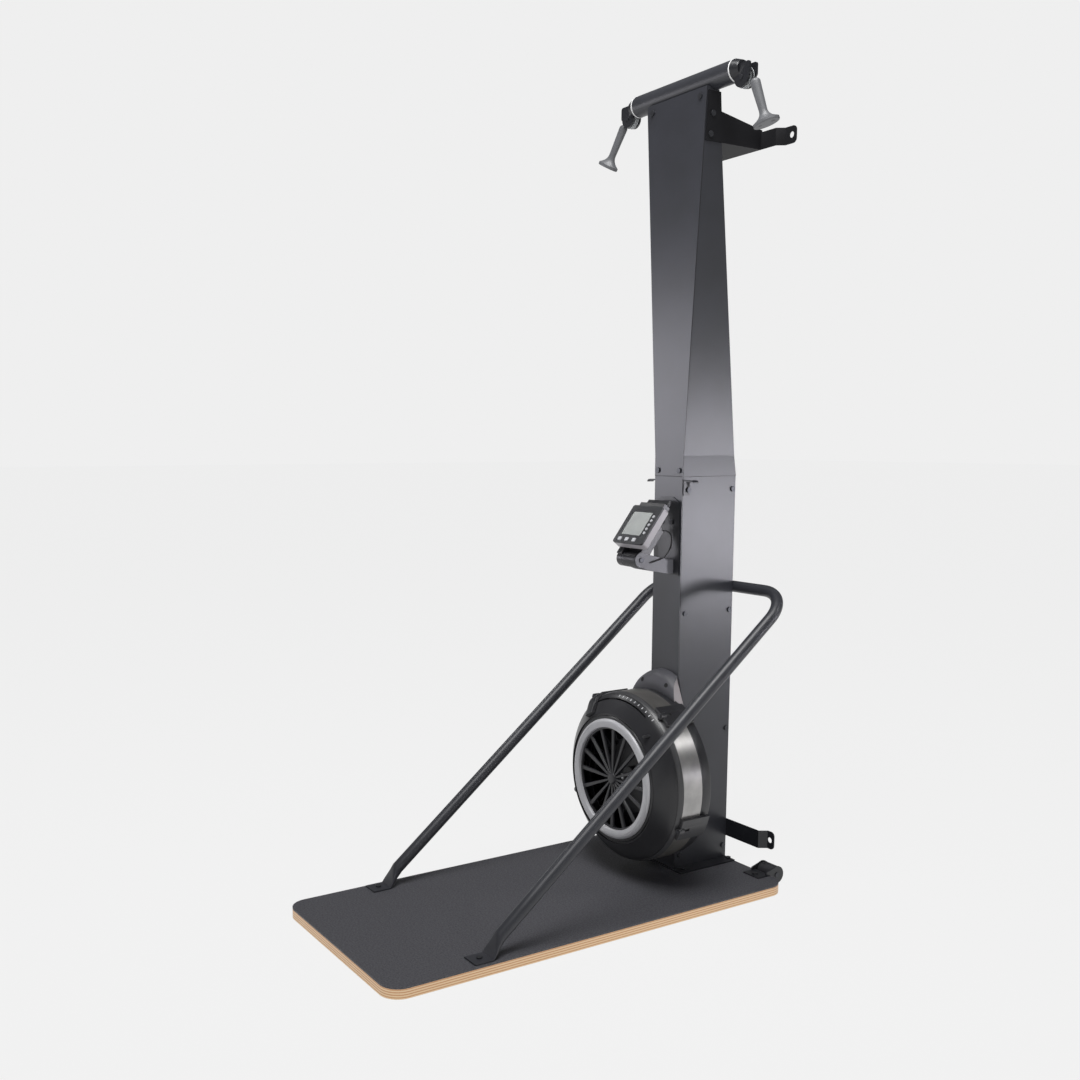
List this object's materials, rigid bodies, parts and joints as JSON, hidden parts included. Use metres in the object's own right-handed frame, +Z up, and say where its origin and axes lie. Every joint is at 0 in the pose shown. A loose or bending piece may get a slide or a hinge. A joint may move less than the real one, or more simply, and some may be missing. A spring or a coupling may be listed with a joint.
{
  "type": "standing ski trainer machine",
  "caption": "Standing ski trainer: tall flared sheet column on a rubber topped board, air fan with damper, crossbar with corded pull handles, tilting monitor, handrail and wall brackets.",
  "frame": {"origin": "middle of the footprint on the floor", "axes": "+Z up; +Y towards the wall behind the column, so the user stands on the -Y side and faces +Y; +X to the user's right"},
  "size_m": [0.6603, 1.27, 2.178],
  "materials": {
    "plywood": "clear lacquered layered edge",
    "mat_rubber": "fine grained matte",
    "black_coat": "satin textured powder coat",
    "grey_coat": "satin powder coat",
    "black_plastic": "satin moulded",
    "handle_plastic": "satin moulded",
    "white_plastic": "satin moulded",
    "pulley_plastic": "translucent moulded",
    "ring_plastic": "satin silver",
    "band_metal": "bright brushed",
    "bare_steel": "turned",
    "bolt_steel": "black zinc",
    "wheel_steel": "satin",
    "cord": "braided",
    "elastic": "braided sheath",
    "case_plastic": "satin dark grey",
    "screen": "matte greenish grey display",
    "button_rubber": "smooth light grey",
    "cable": "smooth jacket",
    "roller_rubber": "matte"
  },
  "bodies": {
    "frame": {"platform_board": "plywood", "platform_mat": "mat_rubber", "column_foot": "black_coat", "lower_column": "black_coat", "lower_front_cover": "black_coat", "upper_column": "black_coat", "upper_front_cover": "black_coat", "accessory_hooks": "black_coat", "crossbar_tube": "black_coat", "crossbar_rings": "white_plastic", "pulley_forks": "black_plastic", "top_pulley_carrier": "black_coat", "bolts_and_pins": "bolt_steel", "drive_cords": "cord", "return_bungees": "elastic", "axle_bearings": "bare_steel", "axle_bracket": "bare_steel", "fan_rear_shell": "black_plastic", "fan_front_shell": "black_plastic", "fan_band": "band_metal", "fan_trim_ring": "ring_plastic", "fan_grill": "black_plastic", "clamp_blocks": "black_plastic", "neck_cover": "black_coat", "monitor_bracket": "grey_coat", "monitor_cable": "cable", "left_handrail_leg": "black_coat", "right_handrail_leg": "black_coat", "handrail_rear_bar": "black_coat", "upper_wall_bracket": "black_coat", "lower_wall_bracket": "black_coat", "wheel_forks": "black_coat"},
    "left_handle": {"left_handle": "handle_plastic", "left_cord_lead": "cord"},
    "right_handle": {"right_handle": "handle_plastic", "right_cord_lead": "cord"},
    "left_end_pulley": {"left_end_pulley": "pulley_plastic"},
    "right_end_pulley": {"right_end_pulley": "pulley_plastic"},
    "left_top_pulley": {"left_top_pulley": "pulley_plastic"},
    "right_top_pulley": {"right_top_pulley": "pulley_plastic"},
    "left_drum": {"left_cord_drum": "bare_steel"},
    "right_drum": {"right_cord_drum": "bare_steel"},
    "flywheel": {"flywheel": "wheel_steel", "flywheel_axle": "bare_steel", "drum_clutches": "bare_steel"},
    "damper": {"damper_lever": "black_plastic"},
    "monitor": {"monitor_case": "case_plastic", "monitor_back": "black_plastic", "monitor_screen": "screen"},
    "left_roller": {"left_transport_roller": "roller_rubber"},
    "right_roller": {"right_transport_roller": "roller_rubber"},
    "phone_holder": {"phone_cradle": "black_plastic"},
    "round_button_1": {"round_button_1": "button_rubber"},
    "round_button_2": {"round_button_2": "button_rubber"},
    "round_button_3": {"round_button_3": "button_rubber"},
    "round_button_4": {"round_button_4": "button_rubber"},
    "round_button_5": {"round_button_5": "button_rubber"},
    "square_button_1": {"square_button_1": "button_rubber"},
    "square_button_2": {"square_button_2": "button_rubber"},
    "square_button_3": {"square_button_3": "button_rubber"}
  },
  "joints": [
    {"name": "right_handle_pull", "type": "slide", "parent": "frame", "child": "right_handle", "axis": [0, 0, -1], "range_m": [0, 1.2], "stiffness_N_per_m": 12, "springref_m": -1.5, "deforming": ["right_cord_lead"]},
    {"name": "right_end_pulley_turn", "type": "hinge", "parent": "frame", "child": "right_end_pulley", "pos_m": [0.224, 0.4175, 2.1245], "axis": [0, 1, 0], "range_deg": [0, 2760]},
    {"name": "right_top_pulley_turn", "type": "hinge", "parent": "frame", "child": "right_top_pulley", "pos_m": [0.03, 0.4175, 2.1295], "axis": [0, 1, 0], "range_deg": [0, 3450]},
    {"name": "right_drum_turn", "type": "hinge", "parent": "frame", "child": "right_drum", "pos_m": [0, 0.4612, 0.308], "axis": [0, 1, 0], "range_deg": [-2660, 0]},
    {"name": "left_handle_pull", "type": "slide", "parent": "frame", "child": "left_handle", "axis": [0, 0, -1], "range_m": [0, 1.2], "stiffness_N_per_m": 12, "springref_m": -1.5, "deforming": ["left_cord_lead"]},
    {"name": "left_end_pulley_turn", "type": "hinge", "parent": "frame", "child": "left_end_pulley", "pos_m": [-0.224, 0.4175, 2.1245], "axis": [0, 1, 0], "range_deg": [-2760, 0]},
    {"name": "left_top_pulley_turn", "type": "hinge", "parent": "frame", "child": "left_top_pulley", "pos_m": [-0.03, 0.4175, 2.1295], "axis": [0, 1, 0], "range_deg": [-3450, 0]},
    {"name": "left_drum_turn", "type": "hinge", "parent": "frame", "child": "left_drum", "pos_m": [0, 0.4612, 0.308], "axis": [0, 1, 0], "range_deg": [0, 2660]},
    {"name": "flywheel_spin", "type": "hinge", "parent": "frame", "child": "flywheel", "pos_m": [0, 0.4, 0.308], "axis": [0, 1, 0], "continuous": true},
    {"name": "damper_swing", "type": "hinge", "parent": "frame", "child": "damper", "pos_m": [0, 0.247, 0.308], "axis": [0, 1, 0], "range_deg": [0, 60]},
    {"name": "monitor_tilt", "type": "hinge", "parent": "frame", "child": "monitor", "pos_m": [0, 0.272, 0.911], "axis": [1, 0, 0], "range_deg": [-8, 40], "deforming": ["monitor_cable"]},
    {"name": "round_button_1_press", "type": "slide", "parent": "monitor", "child": "round_button_1", "axis": [0, 0.7934, -0.6088], "range_m": [0, 0.0012], "stiffness_N_per_m": 400, "springref_m": -0.002},
    {"name": "round_button_2_press", "type": "slide", "parent": "monitor", "child": "round_button_2", "axis": [0, 0.7934, -0.6088], "range_m": [0, 0.0012], "stiffness_N_per_m": 400, "springref_m": -0.002},
    {"name": "round_button_3_press", "type": "slide", "parent": "monitor", "child": "round_button_3", "axis": [0, 0.7934, -0.6088], "range_m": [0, 0.0012], "stiffness_N_per_m": 400, "springref_m": -0.002},
    {"name": "round_button_4_press", "type": "slide", "parent": "monitor", "child": "round_button_4", "axis": [0, 0.7934, -0.6088], "range_m": [0, 0.0012], "stiffness_N_per_m": 400, "springref_m": -0.002},
    {"name": "round_button_5_press", "type": "slide", "parent": "monitor", "child": "round_button_5", "axis": [0, 0.7934, -0.6088], "range_m": [0, 0.0012], "stiffness_N_per_m": 400, "springref_m": -0.002},
    {"name": "square_button_1_press", "type": "slide", "parent": "monitor", "child": "square_button_1", "axis": [0, 0.7934, -0.6088], "range_m": [0, 0.0012], "stiffness_N_per_m": 400, "springref_m": -0.002},
    {"name": "square_button_2_press", "type": "slide", "parent": "monitor", "child": "square_button_2", "axis": [0, 0.7934, -0.6088], "range_m": [0, 0.0012], "stiffness_N_per_m": 400, "springref_m": -0.002},
    {"name": "square_button_3_press", "type": "slide", "parent": "monitor", "child": "square_button_3", "axis": [0, 0.7934, -0.6088], "range_m": [0, 0.0012], "stiffness_N_per_m": 400, "springref_m": -0.002},
    {"name": "phone_holder_slide", "type": "slide", "parent": "monitor", "child": "phone_holder", "axis": [0, 0.6088, 0.7934], "range_m": [0, 0.03]},
    {"name": "left_roller_turn", "type": "hinge", "parent": "frame", "child": "left_roller", "pos_m": [-0.206, 0.61, 0.0255], "axis": [1, 0, 0], "continuous": true},
    {"name": "right_roller_turn", "type": "hinge", "parent": "frame", "child": "right_roller", "pos_m": [0.206, 0.61, 0.0255], "axis": [1, 0, 0], "continuous": true}
  ],
  "couplings": [
    {"joint": "right_end_pulley_turn", "follows": "right_handle_pull", "rad_per_m": 40},
    {"joint": "right_top_pulley_turn", "follows": "right_handle_pull", "rad_per_m": 50},
    {"joint": "right_drum_turn", "follows": "right_handle_pull", "rad_per_m": -38.462},
    {"joint": "left_end_pulley_turn", "follows": "left_handle_pull", "rad_per_m": -40},
    {"joint": "left_top_pulley_turn", "follows": "left_handle_pull", "rad_per_m": -50},
    {"joint": "left_drum_turn", "follows": "left_handle_pull", "rad_per_m": 38.462}
  ]
}
